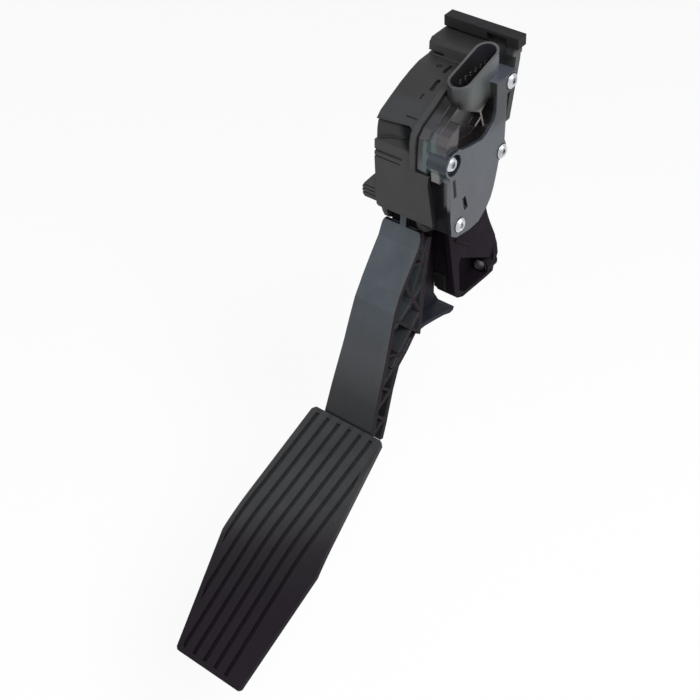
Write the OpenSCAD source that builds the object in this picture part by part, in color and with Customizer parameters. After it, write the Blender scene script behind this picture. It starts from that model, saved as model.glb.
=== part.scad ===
// Hanging accelerator pedal with electronic position sensor.
// Lengths in mm. X runs along the pivot, +X is the sensor side.
// Y points to the bulkhead, the mounting face is the plane y = 0.
// Z points up, z = 0 is the height of the pivot, x = 0 is the middle of the lever.

/* [Housing] */
// width of the housing box along the pivot
body_w = 23.5; // [21:0.5:27]
// thickness of the two side walls
wall = 3.0; // [2.4:0.1:4]
// distance of the pivot from the mounting face
pivot_y = 40.5; // [36:0.5:44]
// distance from the pivot to the front wall
front_reach = 21.9; // [19.5:0.1:27.5]
// height of the rim on the roof beside the cover
rim_h = 0.9; // [0.4:0.1:1.6]
// height of the ribs on the left wall
wall_rib_h = 1.4; // [0.8:0.1:2]
// depth of the pockets in the back of the rear plate
pocket_depth = 1.6; // [0.8:0.1:2.2]
// thickness of the front wall
front_t = 2.8; // [2:0.1:4]
// thickness of the rear plate
rear_t = 4.0; // [3:0.5:6]
// height of the front wall bottom edge below the pivot
front_drop = 12.5; // [8:0.5:14]
// length of the hook bar along the pivot direction
bar_l = 40.7; // [34:0.5:48]
// depth of the hook bar
bar_d = 6.5; // [5:0.5:8]
// height of the hook bar
bar_h = 5.3; // [4:0.1:7]
// gap under the left end of the hook bar
bar_gap = 1.0; // [0.6:0.1:1.6]
// how far the left lug stands out
lug_w = 9.2; // [5:0.2:14]

/* [Foot] */
// lowest point of the foot below the pivot
foot_drop = 80; // [70:1:84]
// thickness of the foot side web
web_t = 3.0; // [2.5:0.1:4]
// outer radius of the steel sleeve
sleeve_r = 4.0; // [3.8:0.1:4.4]
// bolt hole radius in the steel sleeve
sleeve_bore_r = 3.2; // [2.6:0.1:3.3]
// length of the steel sleeve
sleeve_l = 9.0; // [7:0.5:11]

/* [Sensor cover] */
// thickness of the cover flange
flange_t = 4.85; // [3.5:0.05:6]
// distance of the round cover face from the flange
drum_h = 11.5; // [9:0.5:15]
// wall thickness of the cover
cover_wall = 2.0; // [1.5:0.1:2.5]
// thickness of the flat seal under the cover
seal_t = 0.6; // [0.4:0.1:1.2]
// inner width of the connector mouth
mouth_w = 9.7; // [8:0.1:11]
// inner length of the connector mouth
mouth_l = 29; // [26:0.5:32]
// wall thickness of the connector shroud
shroud_t = 1.3; // [1:0.1:1.8]
// height of the shroud rim above the pivot, at its middle
rim_z = 54.8; // [52:0.2:58]
// tilt of the shroud rim
rim_tilt = 14; // [0:1:20]

/* [Screws] */
// radius of the screw heads
head_r = 3.75; // [3:0.05:4.2]
// height of the screw heads
head_h = 2.3; // [1.8:0.1:3]
// radius of the screw shanks
shank_r = 1.95; // [1.5:0.05:2.2]

/* [Sensor] */
// number of connector terminals
terminal_count = 6; // [4:1:6]
// spacing of the terminals
terminal_pitch = 4.0; // [3.5:0.1:4.4]
// thickness of the sensor board
board_t = 1.6; // [1:0.1:2]
// radius of the round sensor board
board_r = 16.6; // [15:0.1:17]
// radius of the wiper rotor
rotor_r = 13; // [11:0.5:15]

/* [Pivot] */
// radius of the pivot pin
pin_r = 4.0; // [3:0.1:4.5]
// radius of the reduced end of the pin
pin_end_r = 3.0; // [2:0.1:3]
// running clearance between pin and bushes
bush_gap = 0.05; // [0.02:0.01:0.1]
// outer radius of the bushes
bush_r = 6.0; // [5.4:0.1:7]
// flange thickness of the bushes
bush_flange_t = 1.0; // [0.8:0.1:1.4]
// radius of the lever hub
hub_r = 11; // [9.5:0.5:11]

/* [Lever] */
// width of the lever at its top
arm_w_top = 23.5; // [19:0.5:24]
// width of the lever at the pad
arm_w_low = 30; // [24:0.5:34]
// thickness of the lever front plate
arm_t = 3.0; // [2:0.2:4]
// thickness of the lever middle web
arm_web_t = 3.6; // [2.4:0.2:5]
// thickness of the crossed ribs of the lever
rib_t = 1.6; // [1.2:0.1:2.5]

/* [Pad] */
// length of the pad
pad_l = 138.4; // [120:0.1:145]
// width of the pad at its top edge
pad_w_top = 44.2; // [38:0.1:50]
// width of the pad at its widest place
pad_w_mid = 56.8; // [50:0.1:62]
// width of the pad at its lower edge
pad_w_low = 40; // [32:0.5:46]
// thickness of the rubber cover
pad_t = 3.4; // [2.6:0.1:4.5]
// thickness of the pad carrier
carrier_t = 2.6; // [2:0.1:3.5]
// bend of the pad half way down, in degrees
pad_bend = 11.5; // [4:0.5:16]
// number of grooves
groove_count = 7; // [5:1:8]
// distance between grooves
groove_pitch = 6.8; // [5.5:0.1:7.5]
// width of the grooves
groove_w = 2.1; // [1.2:0.1:3]
// depth of the grooves
groove_depth = 1.6; // [0.8:0.1:2]
// plain border round the grooves
groove_margin = 2.6; // [1.6:0.1:4]

/* [Springs] */
// mean radius of the outer spring
spring_r = 6.3; // [5.5:0.1:6.5]
// wire radius of the outer spring
spring_wire = 0.8; // [0.5:0.05:1]
// number of open turns of the outer spring
spring_turns = 5; // [4:1:7]
// mean radius of the inner spring
inner_spring_r = 3.9; // [3.4:0.1:4.2]
// wire radius of the inner spring
inner_wire = 0.6; // [0.4:0.05:0.8]
// number of open turns of the inner spring
inner_turns = 7; // [5:1:9]

/* [Show] */
// piece to draw, or all of them

/* [Hidden] */

$fn = 48;
fit = 0.02;
half_w = body_w / 2;
body_d = pivot_y + front_reach;
// The outlines are drawn for this pivot and this front wall, and follow them when those move.
drawn_pivot = 40.5;
drawn_reach = 21.9;
drawn_d = drawn_pivot + drawn_reach;
lever_shift = drawn_pivot - pivot_y;
in_w = half_w - wall;
body_top = 54.9;
foot_x = 16.5;
seal_x = half_w + seal_t;
slab_x = seal_x + flange_t;
pocket_x = slab_x + 3.8;
face_x = slab_x + drum_h;
mouth_x = seal_x + mouth_w / 2 + shroud_t;
mouth_y = sy(-26.6);
shroud_x = mouth_x + mouth_w / 2 + shroud_t;
bar_x0 = -half_w;
bar_top = 61.2;
screw_a = at([-10.6, 42.0]);
screw_b = at([-17.2, 7.4]);
screw_c = at([-56.0, 21.4]);
screw_d = at([-51.4, -14.6]);
screw_places = [screw_a, screw_b, screw_c, screw_d];
screw_tip_x = 9.4;
column_r = 4.2;
head_sink = 1.0;
head_sink_c = 2.6;
board_x = slab_x - 0.9;
spring_y = sy(-21);
seat_z = 12.6;
upper_seat_z = 43.2;
drum_rub_r = 17.2;
hub_half = in_w - bush_flange_t - 0.25;
hole_x = 12.0;
hole_z = -74.8;
boss_r = 5.2;
pad_top = [-108.5 + lever_shift, -116];
friction_pin = at([-29, 9.0]);
pad_tilt = 21.75;
pad_slope = tan(pad_bend / 2);
pad_bend_s = pad_l / 2;
groove_x0 = -16.6;

// Place along Y of a drawn distance, moved with the pivot and the front wall.
function sy(y) = y < -drawn_pivot ? -pivot_y + (y + drawn_pivot) * front_reach / drawn_reach
    : y * pivot_y / drawn_pivot;
function at(p) = [sy(p[0]), p[1]];
function side(points) = [for (p = points) at(p)];

// The lever moves with the pivot; its top also keeps clear of the front wall.
function on_lever(points) = [for (p = points) p[1] > -25 ? at(p) : [p[0] + lever_shift, p[1]]];

// Inner face of the front wall at the height z.
function wall_y(z) = -drawn_d + front_t + 0.6 * (z + front_drop + 1) / (15 + front_drop);

// Shapes given as side views (y to the right, z up) are run along X.
module along_x(x0, x1) {
    translate([x0, 0, 0]) rotate([90, 0, 90]) linear_extrude(height = x1 - x0) children();
}

// Shapes given as front views (x to the right, z up) are run along Y.
module along_y(y0, y1) {
    translate([0, y1, 0]) rotate([90, 0, 0]) linear_extrude(height = y1 - y0) children();
}

// A bar between two points of a side view.
module strip(a, b, t) {
    d = b - a;
    l = norm(d);
    n = [-d[1], d[0]] * (t / 2 / l);
    polygon([a + n, b + n, b - n, a - n]);
}

module block(x0, x1, y0, y1, z0, z1) {
    translate([x0, y0, z0]) cube([x1 - x0, y1 - y0, z1 - z0]);
}

module round_along_x(x0, x1, yz, r) {
    translate([x0, yz[0], yz[1]]) rotate([0, 90, 0]) cylinder(r = r, h = x1 - x0);
}

// Side view of the housing box.
module housing_side() {
    polygon(side([[0, body_top], [-16.5, body_top], [-18.4, 53.2], [-18.9, 47.6], [-27, 47.4],
        [-33.7, 45.8], [-41.5, 43.2], [-49.2, 39.9], [-drawn_d + 5.9, 36.6], [-drawn_d + 2, 33.2],
        [-drawn_d + 1, 29], [-drawn_d, 14], [-drawn_d, -front_drop], [-drawn_d + front_t, -front_drop],
        [-58.9, -15.6], [-58, -19.4], [-56.6, -22.8], [-53, -25.1], [-46, -27.5], [-38, -25.6],
        [-30, -24.5], [-14, -30], [0, -34]]));
}

// Side view of the hollow for the lever and the springs, open at the bottom.
module housing_hollow_side() {
    polygon(side([[-rear_t, 51.6], [-15.4, 51.6], [-15.9, 44.4], [-29.2, 44.4], [-33, 42.9], [-40.6, 40.3],
        [-48, 37.2], [-55, 33.8], [-58.0, 30.6], [-drawn_d + front_t + 0.6, 14],
        [-drawn_d + front_t, -front_drop - 1], [-drawn_d + front_t, -40], [-rear_t, -40]]));
}

// Foot at the lower right: side web with an open window, rear plate, front edge and bolt boss.
module foot() {
    fd = -foot_drop;
    along_x(foot_x - web_t, foot_x) difference() {
        polygon(side([[-44, -23.4], [-35.4, -23.4], [-29.6, -20.4], [-24.4, -19], [-8, -24], [-10.8, -34.4],
            [-8.9, -41.2], [-5, -50.2], [-2, -57], [-0.9, -61.6], [0, -66], [0, fd + 6], [-2.2, fd + 3.2],
            [-3.2, fd - 0.3], [-8.5, fd - 0.4], [-30.6, fd + 1], [-35.4, fd + 3.4], [-37.5, fd + 7]]));
        polygon(side([[-32.4, -52.4], [-6.6, -69.2], [-2.4, -69.2], [-2.4, fd + 6], [-5.2, fd + 1.8],
            [-29.6, fd + 3.2],
            [-33.6, fd + 6.4], [-34.4, -55]]));
    }
    // inner web on the lever side
    along_x(4.4, 4.4 + web_t - 0.6)
        polygon(side([[-38.9, -34], [-29.6, -22], [0, -28], [0, fd + 3], [-3.2, fd - 0.3], [-8.5, fd - 0.4],
            [-30.6, fd + 1], [-35.4, fd + 3.4], [-37.5, fd + 7], [-38.3, -66]]));
    // front edge and bottom ledge turned in
    along_x(4.4, foot_x)
        polygon(side([[-38.3, -66], [-37.5, fd + 7], [-35.4, fd + 3.4], [-30.6, fd + 1], [-8.5, fd - 0.4],
            [-3.2, fd - 0.3], [-3.2, fd + 1.8], [-8.5, fd + 1.7], [-29.8, fd + 3.1], [-33.4, fd + 6.2],
            [-34.4, -55], [-35.2, -34], [-38.9, -34]]));
    // lower part of the rear plate
    along_y(-rear_t, 0)
        polygon([[4.4, -20], [half_w + 1.4, -20], [half_w + 1.2, -30], [half_w - 0.3, -37], [9.4, -45],
            [12, -52.4],
            [15, -59], [16.5, -63.4], [17.3, -69.6], [16.4, fd + 5.8], [15.2, fd + 1], [13, fd - 0.4],
            [4.4, fd - 0.4]]);
    // slanting rear wall between the web and the rear plate
    along_x(4.4, foot_x)
        polygon(side([[-8, -24], [-10.8, -34.4], [-8.9, -41.2], [-5, -50.2], [-2, -57], [-4.6, -58],
            [-7.6, -51],
            [-11.4, -42], [-13.4, -34.6], [-10.6, -24]]));
    // ledge that ties the web to the side wall
    along_x(half_w - wall, foot_x)
        polygon(side([[-44, -26.4], [-35.4, -26.4], [-28, -23], [-8.6, -27], [-8, -24], [-24.4, -19],
            [-29.6, -20.4],
            [-35.4, -23.4], [-44, -23.4]]));
    // lip beside the front edge of the web
    along_x(foot_x - 0.1, foot_x + 0.9) strip(at([-37.6, -37.9]), at([-24.6, -49.5]), 1.4);
    round_along_y(-sleeve_l, -0.1, hole_x, hole_z, boss_r);
}

// Lug on the left side with fine steps.
module left_lug() {
    difference() {
        along_y(-body_d + 1.2, sy(-51))
            polygon([[-half_w + 0.1, 5], [-half_w - 3.4, 1.2], [-half_w - lug_w + 1, -4.6],
                [-half_w - lug_w, -6.5], [-half_w - lug_w, -10.6], [-half_w - lug_w + 1.2, -front_drop + 0.4],
                [-half_w + 0.1, -front_drop + 0.4]]);
        for (z = [-9.6, -7.4, -5.2])
            block(-half_w - lug_w - 1, -half_w - 1.4, -body_d, -body_d + 1.9, z - 0.4, z + 0.4);
    }
}

module hook_bar() {
    difference() {
        block(bar_x0, bar_x0 + bar_l, -bar_d, 0, bar_top - bar_h, bar_top);
        // shallow recess in the right half of the bar front
        block(half_w, 22.5, -bar_d - 1, -bar_d + 2.6, bar_top - bar_h - 1, bar_top - 1.6);
        // gap under the left end
        block(bar_x0 - 1, -3.2, -bar_d - 1, -2.4, bar_top - bar_h - 1, bar_top - bar_h - 0.8 + bar_gap);
    }
    // small rounded block at the right end of the bar
    translate([23.4, -bar_d, bar_top - bar_h - 1.8])
        rotate([0, 90, 0]) cylinder(r = 2.0, h = 4.2);
    block(23.4, 27.6, -bar_d - 0.4, -1, bar_top - bar_h - 3.8, bar_top - bar_h + 0.1);
}

// Slots and recesses on the roof and on the front wall.
module housing_cuts() {
    // two slots in line in the roof beside the cover
    translate([3.8, sy(-25.3), 47.4]) block(-1.1, 1.1, -3.5, 3.5, -2.2, 3);
    translate([4.5, sy(-36.6), 45]) rotate([19, 0, 0]) block(-1.1, 1.1, -3.6, 3.6, -2.4, 4);
    // small mark and a short slot on the roof
    translate([-1.0, sy(-25.6), 46.2]) cylinder(r = 1.5, h = 6);
    translate([2.4, sy(-44), 41.9]) rotate([21, 0, 0]) block(-0.6, 0.6, -1.6, 1.6, -0.8, 3);
    // dark slot under the front lip of the upper block
    block(-half_w - 1, -3.4, sy(-22), sy(-14.6), body_top - 7.0, body_top - 5.6);
    // recess in the upper front corner, rounded at its right end and open to the left
    intersection() {
        along_y(sy(-66), sy(-50)) union() {
            polygon([[-half_w - 1, 23.4], [-half_w - 1, 33.8], [-0.6, 34.6], [5.4, 35.1], [5.4, 29.1], [-3.3, 26.7]]);
            translate([5.4, 32.1]) circle(r = 3);
        }
        along_x(-half_w - 2, half_w) polygon(side([[-53, 36.3], [-55.4, 35.0], [-58.4, 32.2], [-59.4, 28.6],
            [-60.2, 20], [-68, 20], [-68, 42], [-53, 42]]));
    }
    // fine groove above the recess and two across the front wall
    translate([0, sy(-54.9), 37.4]) rotate([24, 0, 0]) block(1.5, 7.8, -0.45, 0.45, -0.9, 3);
    block(-half_w - 1, 4, -body_d - 1, -body_d + 1.1, 17.6, 19.0);
    block(-half_w - 1, 3, -body_d - 1, -body_d + 0.9, 14.9, 15.6);
}

// Low rim along the roof beside the cover, seen from the side.
module roof_rim_side() {
    h = rim_h;
    polygon(side([[-19.6, 47.4], [-20.4, 47.4 + h], [-27, 47.4 + h], [-33.7, 45.8 + h], [-41.5, 43.2 + h],
        [-49.2, 39.9 + h], [-drawn_d + 5.9 - h * 0.4, 36.6 + h * 0.9], [-drawn_d + 2 - h * 0.8, 33.2 + h * 0.6],
        [-drawn_d + 1 - h, 29], [-drawn_d - h * 0.6, 16], [-drawn_d + 0.6, 14], [-drawn_d + 3, 14],
        [-drawn_d + 3.4, 31], [-54, 34.6], [-48, 38.6], [-41.5, 41.6], [-33.7, 44.2], [-27, 45.8], [-19.6, 46]]));
}

// Ring round the pin end and ribs on the left wall.
module left_wall_ribs() {
    x0 = -half_w - wall_rib_h;
    difference() {
        union() {
            round_along_x(x0 - 0.8, -half_w + 0.2, [-pivot_y, 0], 11.2);
            along_x(x0, -half_w + 0.2) {
                strip(at([-40.5, 0]), at([-31.6, 38]), 1.8);
                strip(at([-40.5, 0]), at([-50.2, 30]), 1.8);
                strip(at([-40.5, 0]), at([-8.4, 38]), 1.8);
                strip(at([-40.5, 0]), at([-5, 14]), 1.8);
                strip(at([-40.5, 0]), at([-5, -20]), 1.8);
                strip(at([-40.5, 0]), at([-39, -25.2]), 1.8);
                strip(at([-40.5, 0]), at([-57, 12.6]), 1.8);
            }
        }
        round_along_x(x0 - 2, -half_w, [-pivot_y, 0], 9.2);
    }
}

// Shallow pockets in the back of the rear plate.
module plate_pockets() {
    for (row = [0 : 2], col = [-1, 1])
        block(col * 5.3 - 3.9, col * 5.3 + 3.9, -pocket_depth, 1, -26 + row * 10.6, -17.2 + row * 10.6);
    for (x = [-6.6, 2.6, 12.2])
        block(x, x + 7.6, -pocket_depth, 1, 43.2, 51.6);
}

module round_along_y(y0, y1, x, z, r) {
    translate([x, y1, z]) rotate([90, 0, 0]) cylinder(r = r, h = y1 - y0);
}

// The housing box, hook bar, rear plate, foot and lug in one moulding.
module housing() {
    color([0.13, 0.13, 0.14])
    difference() {
        union() {
            difference() {
                union() {
                    along_x(-half_w, half_w) housing_side();
                    // front panel, wider than the box, its right edge slants out
                    along_y(-body_d, -body_d + front_t)
                        polygon([[-half_w, 13.2], [-half_w, -front_drop], [-half_w + 1.2, -front_drop - 0.8],
                            [20.4, -front_drop - 0.8], [21.1, -front_drop], [18.5, 9], [18.9, 13.6]]);
                    along_x(-half_w, 18.9)
                        polygon(side([[-drawn_d, 13.4], [-drawn_d + front_t, 13.4], [-drawn_d + front_t, 13.6],
                            [-drawn_d + 1.4, 14.6], [-drawn_d + 0.5, 14.6]]));
                }
                along_x(-in_w, in_w) housing_hollow_side();
                housing_cuts();
            }
            // tapered rear plate
            along_y(-rear_t, 0)
                polygon([[-half_w, bar_top - bar_h + 0.1], [26.6, bar_top - bar_h + 0.1], [26.2, 48],
                    [21.6, 13.6],
                    [18.5, 11.5], [half_w - 1, 11.5], [half_w - 1, -30], [-half_w, -30]]);
            hook_bar();
            foot();
            left_lug();
            left_wall_ribs();
            along_x(half_w - 3.4, half_w) roof_rim_side();
            // friction drum hung from the roof
            difference() {
                along_x(-in_w - 0.1, in_w + 0.1)
                    polygon(side([[-52, 10], [-34.6, 10], [-34.6, 43.4], [-40.6, 41.2], [-48, 38.2],
                        [-52, 36.4]]));
                round_along_x(-in_w - 1, in_w + 1, [-pivot_y, 0], drum_rub_r);
            }
            for (s = screw_places) round_along_x(screw_tip_x - 1.3, half_w, s, 3.4);
        }
        // bearing bores
        round_along_x(-half_w - 1, -in_w + 1, [-pivot_y, 0], bush_r + fit);
        round_along_x(in_w - 1, half_w + 1, [-pivot_y, 0], bush_r + fit);
        for (s = screw_places) round_along_x(screw_tip_x - 2, half_w + 1, s, shank_r + fit);
        round_along_y(-sleeve_l - 1, 1, hole_x, hole_z, sleeve_r + fit);
        plate_pockets();
        // window in the rear plate for mounting the springs
        along_y(-rear_t - 1, 1)
            polygon([[-6, 37], [6, 37], [6, 9], [4, 7], [-4, 7], [-6, 9]]);
    }
}

// Steel sleeve in the hole of the foot.
module foot_sleeve() {
    color([0.75, 0.76, 0.78])
    difference() {
        round_along_y(-sleeve_l - 0.2, 0, hole_x, hole_z, sleeve_r);
        round_along_y(-sleeve_l - 2, 2, hole_x, hole_z, sleeve_bore_r);
    }
}

// Outline of the cover flange, seen from the side.
module flange_side() {
    polygon(side([[-6.6, 46.8], [-18.4, 46.8], [-27, 47.0], [-33.7, 45.4], [-41.5, 42.8], [-49.2, 39.5],
        [-drawn_d + 5.9, 36.2], [-drawn_d + 2.2, 32.8], [-drawn_d + 1.3, 28.6], [-drawn_d + 0.5, 17],
        [-drawn_d + 1.4, 15], [-59.2, 14.4], [-59.2, -8], [-58.4, -17.8], [-54, -20.8], [-49, -21.8],
        [-43.3, -22.8], [-35.8, -22.6], [-28.7, -18.2], [-25.4, -14.6], [-23.1, -9.9], [-21.4, -5],
        [-20, 0], [-19.2, 3.6], [-13.4, 5], [-12.6, 9], [-14.5, 12.8], [-14.2, 21], [-13.5, 36.5],
        [-6.6, 38]]));
}

// Outline of the raised face of the cover.
module face_side() {
    polygon(side([[-6.9, 46.4], [-22.4, 46.4], [-22.4, 31.5], [-24.4, 27.3], [-29.2, 24], [-33.2, 22.8],
        [-43.6, 24.6], [-50, 26.2], [-51.4, 27.6], [-58.8, 27.4], [-61.4, 22], [-59.0, 14], [-58.9, -8],
        [-58.1, -17.4], [-54, -20.4], [-49, -21.4], [-43.3, -22.4], [-35.8, -22.2], [-28.9, -17.9],
        [-25.7, -14.4], [-23.4, -9.8], [-21.8, -5], [-20.3, 0], [-19.5, 3.2], [-13.8, 4.4], [-13.0, 8],
        [-15, 12.8], [-14.6, 21], [-13.9, 36.8], [-6.9, 38.4]]));
}

// Hollow of the cover for the board and the terminals.
module sensor_room_side() {
    polygon(side([[-38.5, 8], [-26.5, 8], [-22.5, 14], [-16, 16], [-11.8, 24], [-11.8, 38.5],
        [-38.5, 38.5]]));
}

module stadium(w, l) {
    translate([0, l / 2 - w / 2]) circle(r = w / 2);
    translate([0, -l / 2 + w / 2]) circle(r = w / 2);
    square([w, l - w], center = true);
}

// Shroud of the connector, cut off at the slanting rim.
module shroud() {
    difference() {
        intersection() {
            translate([mouth_x, mouth_y, 30]) linear_extrude(height = 40)
                stadium(mouth_w + 2 * shroud_t, mouth_l + 2 * shroud_t);
            along_x(0, 40)
                polygon(side([[-46, 70], [-46, 40.6], [-41.5, 40.6], [-29.5, 33.8], [-16.8, 41.2],
                    [-7.6, 41.2],
                    [-7.6, 70]]));
        }
        translate([mouth_x, mouth_y, 43.4]) linear_extrude(height = 30) stadium(mouth_w, mouth_l);
        translate([0, mouth_y, rim_z]) rotate([rim_tilt, 0, 0]) block(0, 40, -40, 40, 0, 30);
    }
}

module sensor_cover() {
    color([0.17, 0.17, 0.18])
    difference() {
        union() {
            difference() {
                union() {
                    along_x(seal_x, slab_x) flange_side();
                    along_x(slab_x - 0.1, pocket_x)
                        polygon(side([[-7.4, 46], [-27, 46.1], [-33.6, 44.5], [-41.3, 41.9], [-49, 38.6],
                            [-drawn_d + 6.4, 35.2], [-drawn_d + 3.4, 32.2], [-drawn_d + 2.4, 26],
                            [-drawn_d + 3, 14], [-30, 10], [-16, 14], [-14.6, 36], [-7.4, 38.4]]));
                    along_x(slab_x - 0.1, face_x) face_side();
                    // block at the upper front corner
                    along_x(slab_x - 0.1, face_x - 2.2)
                        polygon(side([[-48.6, 38.4], [-drawn_d + 6.4, 35.0], [-drawn_d + 3.2, 31.8],
                            [-drawn_d + 2.6, 24], [-50.4, 24]]));
                }
                // seat of the round board, with the room of the rotor behind it
                round_along_x(seal_x - 1, board_x + board_t, [-pivot_y, 0], board_r + 0.15);
                round_along_x(seal_x - 1, face_x - cover_wall, [-pivot_y, 0], board_r - 1.2);
                // lower front set back behind the face
                block(slab_x + 1.8, face_x - 1.9, -body_d - 1, sy(-57.0), -26, 12.4);
                along_x(seal_x - 1, board_x + board_t + 1.6) sensor_room_side();
            }
            shroud();
            for (s = screw_places) round_along_x(seal_x, face_x - 3, s, column_r);
            // thin forked rib under the shroud
            along_x(board_x + board_t + 0.3, shroud_x - 0.2) {
                strip(at([-29.6, 35.2]), at([-26.4, 24.2]), 1.3);
                strip(at([-28.9, 30.8]), at([-33.4, 28.4]), 1.2);
            }
            // small ledge beside the front panel
            block(19.8, 24.6, sy(-61.4), sy(-58.6), 12.6, 19.4);
            for (s = [screw_c]) round_along_x(slab_x, face_x, s, 6.4);
        }
        for (s = screw_places) {
            round_along_x(seal_x - 1, face_x + 1, s, shank_r + 0.25);
            sink = s == screw_c ? head_sink_c : head_sink;
            wide = s == screw_c ? 5.3 : head_r + 0.35;
            round_along_x(face_x - sink, face_x + 1, s, wide);
        }
        // mouth of the connector and slits for the terminals
        translate([mouth_x, mouth_y, 43.4]) linear_extrude(height = 30) stadium(mouth_w, mouth_l);
        for (k = [0 : terminal_count - 1])
            translate([board_x + board_t + 0.45, terminal_y(k), 40])
                cube([0.9, 1.6, 20], center = true);
        // two slots in the face
        along_x(face_x - 1.6, face_x + 1) strip(at([-56.1, 13.4]), at([-55.0, 3.0]), 2.4);
        along_x(face_x - 1.6, face_x + 1) strip(at([-48.2, -0.6]), at([-46.4, -8.4]), 2.8);
    }
}

function terminal_y(k) = mouth_y + (k - (terminal_count - 1) / 2) * terminal_pitch;

// Flat seal between the housing wall and the cover.
module cover_seal() {
    color([0.05, 0.05, 0.05])
    difference() {
        along_x(half_w + 0.02, seal_x - 0.02) flange_side();
        round_along_x(half_w - 1, seal_x + 1, [-pivot_y, 0], 16);
        along_x(half_w - 1, seal_x + 1)
            polygon(side([[-37, 12], [-23, 12], [-21, 17], [-15, 19], [-14.4, 36], [-37, 36]]));
        for (s = screw_places) round_along_x(half_w - 1, seal_x + 1, s, shank_r + 0.4);
    }
}

// One pan-head screw with a six-point recess, its head underside at x = 0.
module screw(tip) {
    difference() {
        union() {
            rotate([0, 90, 0]) cylinder(r = head_r, h = head_h * 0.6);
            translate([head_h * 0.6, 0, 0]) rotate([0, 90, 0]) cylinder(r1 = head_r, r2 = head_r * 0.72,
                h = head_h * 0.4);
            translate([-tip, 0, 0]) rotate([0, 90, 0]) cylinder(r = shank_r, h = tip + 0.1);
            translate([-tip - 1, 0, 0]) rotate([0, 90, 0]) cylinder(r1 = shank_r * 0.5, r2 = shank_r, h = 1);
        }
        for (a = [0, 60]) rotate([a, 0, 0])
            translate([head_h - 1.3, 0, 0]) rotate([0, 90, 0]) cylinder(r = head_r * 0.48, h = 2, $fn = 3);
        for (a = [30, 90]) rotate([a, 0, 0])
            translate([head_h - 1.3, 0, 0]) rotate([0, 90, 0]) cylinder(r = head_r * 0.48, h = 2, $fn = 3);
    }
}

module cover_screws() {
    color([0.8, 0.81, 0.83])
    for (s = screw_places) {
        seat = s == screw_c ? face_x - head_sink_c : face_x - head_sink;
        translate([seat, s[0], s[1]]) screw(seat - screw_tip_x);
    }
}

// Side view of the middle web of the lever, from the hub to the pad.
module lever_web_side() {
    polygon(on_lever([[-50.4, 4], [-56.3, -5], [-56.6, -16], [-57.6, -23.6], [-62, -31.4], [-69, -39.4],
        [-76.5, -48.5], [-82, -57], [-86.5, -67.5], [-91, -79], [-96.5, -91], [-101.5, -102],
        [-107.4, -116.4], [-108.6, -121], [-118, -126], [-150, -138.5], [-151, -141], [-118, -136],
            [-103, -132],
        [-98.6, -127], [-93, -113.5], [-87.5, -101], [-81.5, -90.2], [-74, -85.5], [-69.6, -81.9],
        [-65.5, -81.6], [-57, -82.4], [-48.4, -84.6], [-40.5, -86.9], [-35.2, -89.3], [-32.5, -89.2],
        [-31.4, -87.6], [-35.4, -80], [-33, -40], [-31.5, -8]]));
}

// Front surface of the lever, and the same line set back by a thickness.
lever_front = [[-57.6, -23.6], [-62, -31.4], [-69, -39.4], [-76.5, -48.5], [-82, -57], [-86.5, -67.5],
    [-91, -79], [-96.5, -91], [-101.5, -102], [-107.4, -116.4], [-112, -128]];

function shifted(p, t) = [p[0] + 0.88 * t, p[1] - 0.32 * t];

module lever_front_side() {
    n = len(lever_front);
    polygon([for (p = lever_front) p, for (i = [n - 1 : -1 : 0]) shifted(lever_front[i], arm_t)]);
}

// Tapered width of the lever, seen from the front.
module lever_width() {
    a = arm_w_top / 2;
    b = arm_w_low / 2;
    polygon([[-a + 1.4, -23], [a - 3.2, -23], [a - 1.2, -24.4], [a - 0.2, -26.6], [a, -29], [a, -50], [b, -118],
        [b, -150], [-b, -150], [-b, -118], [-a, -50], [-a, -25.4], [-a + 0.4, -24]]);
}

// Crossed ribs between the front plate and the back edge of the lever.
module lever_ribs_side() {
    strip([-58.2, -27], [-55, -50], rib_t);
    strip([-66, -38], [-54.6, -41.4], rib_t);
    strip([-53, -30], [-70, -62], rib_t);
    strip([-72, -45], [-61.2, -70.2], rib_t);
    strip([-58.5, -55], [-82, -66], rib_t);
    strip([-82, -60], [-63, -82], rib_t);
    strip([-61.8, -69.2], [-87, -88], rib_t);
    strip([-90, -78], [-76, -86], rib_t);
    strip([-79, -86], [-96, -94], rib_t);
    strip([-97, -93], [-88.5, -102], rib_t);
    strip([-88, -100], [-102, -106], rib_t);
    strip([-103, -107], [-95, -117], rib_t);
    strip([-94, -114], [-107, -119], rib_t);
}

// Back edge of the lever above the spur, its rear face meets the full travel buffer.
module lever_back_side() {
    polygon([[-52.6, -29], [-50.2, -29.4], [-52.8, -40], [-57.6, -60], [-59.8, -69.5], [-61, -77],
        [-62.4, -80.6], [-65.4, -81], [-63.4, -77], [-62.2, -69], [-60, -59.5], [-55.2, -39.5]]);
}

// Back edge of the lever below the spur.
module lever_low_back_side() {
    polygon([[-69.6, -81.9], [-74, -85.5], [-81.5, -90.2], [-87.5, -101], [-93, -113.5], [-98.6, -127],
        [-101, -126], [-95.4, -112.5], [-89.9, -100], [-83.6, -88.6], [-75.6, -83.4], [-71, -79.6],
            [-66, -79.2]]);
}

// Spur that points back under the foot.
module spur_side() {
    polygon([[-71, -82], [-69.6, -81.9], [-65.5, -81.6], [-57, -82.4], [-48.4, -84.6], [-40.5, -86.9],
        [-35.2, -89.3], [-32.5, -89.2], [-31.4, -87.4], [-35, -86], [-40.5, -84.4], [-48.4, -82],
        [-57, -79.8], [-65, -79], [-71, -79.4]]);
}

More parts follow.
